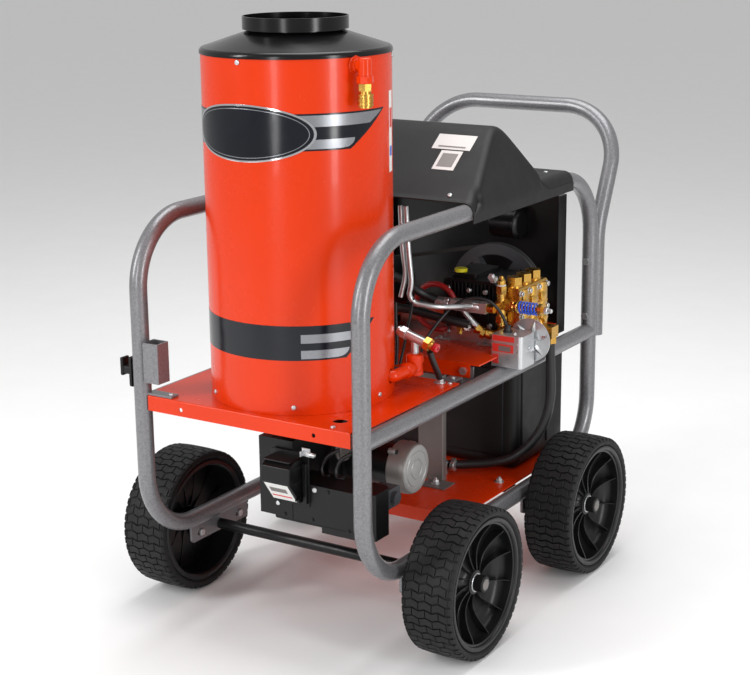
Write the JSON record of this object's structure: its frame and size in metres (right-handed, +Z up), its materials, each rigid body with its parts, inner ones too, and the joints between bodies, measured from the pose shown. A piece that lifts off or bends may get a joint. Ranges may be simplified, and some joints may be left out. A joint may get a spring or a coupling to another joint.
{
  "type": "pressure washer",
  "caption": "Hot-water pressure washer: upright boiler, belt-driven pump and burner on a tubular cart with wide tyres and a push handle.",
  "frame": {"origin": "centre of the machine's footprint, on the floor", "axes": "+Z up, +Y towards the push handle, +X towards the operator's left, the pump's side"},
  "size_m": [0.859, 1.2474, 1.3339],
  "materials": {
    "frame_paint": "hammertone silver-grey paint",
    "orange_paint": "glossy orange powder coat",
    "black_paint": "satin black paint",
    "black_plastic": "textured black plastic",
    "rim_plastic": "semi-gloss black plastic",
    "tyre_rubber": "matt black tyre rubber",
    "zinc_steel": "bright zinc plate",
    "coil_steel": "heat-darkened steel",
    "shaft_steel": "ground steel",
    "cast_dark": "dark cast iron",
    "motor_grey": "satin grey paint",
    "fan_steel": "galvanised sheet",
    "brass_parts": "machined brass",
    "spring_blue": "blue coated spring wire",
    "oil_cap_yellow": "glossy yellow plastic",
    "belt_rubber": "belt rubber and fabric",
    "hose_rubber": "smooth hose rubber",
    "hose_red": "red hose rubber"
  },
  "bodies": {
    "chassis": {"side_frame_left": "frame_paint", "side_frame_right": "frame_paint", "mid_rails": "frame_paint", "push_handle": "frame_paint", "wand_socket": "frame_paint", "axle_brackets": "frame_paint", "upper_deck": "orange_paint", "lower_deck": "orange_paint", "pump_base": "orange_paint", "boiler_jacket": "orange_paint", "outlet_elbow": "orange_paint", "outlet_pipe": "orange_paint", "boiler_cone": "black_paint", "flue_collar": "black_paint", "burner_housing": "black_paint", "burner_control_box": "black_paint", "back_panel": "black_paint", "axles": "black_paint", "pump_crankcase": "black_paint", "drive_motor": "black_paint", "hood": "black_plastic", "hose_hook": "black_plastic", "fuel_tank": "black_plastic", "axle_caps": "black_plastic", "frame_bolts": "zinc_steel", "screws": "zinc_steel", "pump_rails": "zinc_steel", "thermostat_box": "zinc_steel", "steel_fittings": "zinc_steel", "heating_coil": "coil_steel", "fuel_pump": "cast_dark", "burner_motor": "motor_grey", "electrical_box": "motor_grey", "quick_coupler": "brass_parts", "pump_head": "brass_parts", "valve_caps": "brass_parts", "unloader_valve": "brass_parts", "relief_valve": "brass_parts", "unloader_spring": "spring_blue", "drive_belt": "belt_rubber", "black_hoses": "hose_rubber", "red_hose": "hose_red"},
    "pump_shaft": {"pump_crankshaft": "shaft_steel", "pump_pulley": "cast_dark"},
    "motor_shaft": {"motor_rotor": "shaft_steel", "motor_pulley": "cast_dark"},
    "burner_fan": {"blower_wheel": "fan_steel"},
    "thermostat_knob": {"thermostat_dial": "zinc_steel"},
    "unloader_knob": {"unloader_nut": "brass_parts"},
    "coupler_ring": {"coupler_sleeve": "brass_parts"},
    "fuel_lid": {"fuel_cap": "black_plastic"},
    "oil_lid": {"oil_cap": "oil_cap_yellow"},
    "wheel_front_left": {"tyre_front_left": "tyre_rubber", "rim_front_left": "rim_plastic"},
    "wheel_front_right": {"tyre_front_right": "tyre_rubber", "rim_front_right": "rim_plastic"},
    "wheel_rear_left": {"tyre_rear_left": "tyre_rubber", "rim_rear_left": "rim_plastic"},
    "wheel_rear_right": {"tyre_rear_right": "tyre_rubber", "rim_rear_right": "rim_plastic"}
  },
  "joints": [
    {"name": "front_left_wheel_turn", "type": "hinge", "parent": "chassis", "child": "wheel_front_left", "pos_m": [0.371, -0.35795, 0.165], "axis": [1, 0, 0], "continuous": true},
    {"name": "front_right_wheel_turn", "type": "hinge", "parent": "chassis", "child": "wheel_front_right", "pos_m": [-0.371, -0.35795, 0.165], "axis": [1, 0, 0], "continuous": true},
    {"name": "rear_left_wheel_turn", "type": "hinge", "parent": "chassis", "child": "wheel_rear_left", "pos_m": [0.371, 0.1903, 0.165], "axis": [1, 0, 0], "continuous": true},
    {"name": "rear_right_wheel_turn", "type": "hinge", "parent": "chassis", "child": "wheel_rear_right", "pos_m": [-0.371, 0.1903, 0.165], "axis": [1, 0, 0], "continuous": true},
    {"name": "pump_turn", "type": "hinge", "parent": "chassis", "child": "pump_shaft", "pos_m": [0.139, 0.2153, 0.645], "axis": [0, 1, 0], "continuous": true},
    {"name": "motor_turn", "type": "hinge", "parent": "chassis", "child": "motor_shaft", "pos_m": [-0.15, 0.2153, 0.65], "axis": [0, 1, 0], "continuous": true},
    {"name": "burner_fan_turn", "type": "hinge", "parent": "chassis", "child": "burner_fan", "pos_m": [0, -0.3177, 0.375], "axis": [1, 0, 0], "continuous": true},
    {"name": "thermostat_dial_turn", "type": "hinge", "parent": "chassis", "child": "thermostat_knob", "pos_m": [0.318, 0.0383, 0.592], "axis": [0, 1, 0], "range_deg": [0, 270]},
    {"name": "unloader_nut_turn", "type": "hinge", "parent": "chassis", "child": "unloader_knob", "pos_m": [0.35, 0.0273, 0.668], "axis": [1, 0, 0], "range_deg": [-180, 180]},
    {"name": "fuel_cap_turn", "type": "hinge", "parent": "chassis", "child": "fuel_lid", "pos_m": [0.15, 0.3003, 0.51], "axis": [0, 0, 1], "range_deg": [0, 90]},
    {"name": "oil_cap_turn", "type": "hinge", "parent": "chassis", "child": "oil_lid", "pos_m": [0.125, 0.0633, 0.728], "axis": [0, 0, 1], "range_deg": [0, 270]},
    {"name": "coupler_sleeve_pull", "type": "slide", "parent": "chassis", "child": "coupler_ring", "axis": [0, 0, 1], "range_m": [0, 0.005], "stiffness_N_per_m": 600}
  ],
  "couplings": [
    {"joint": "motor_turn", "follows": "pump_turn", "ratio": 2.3253}
  ]
}
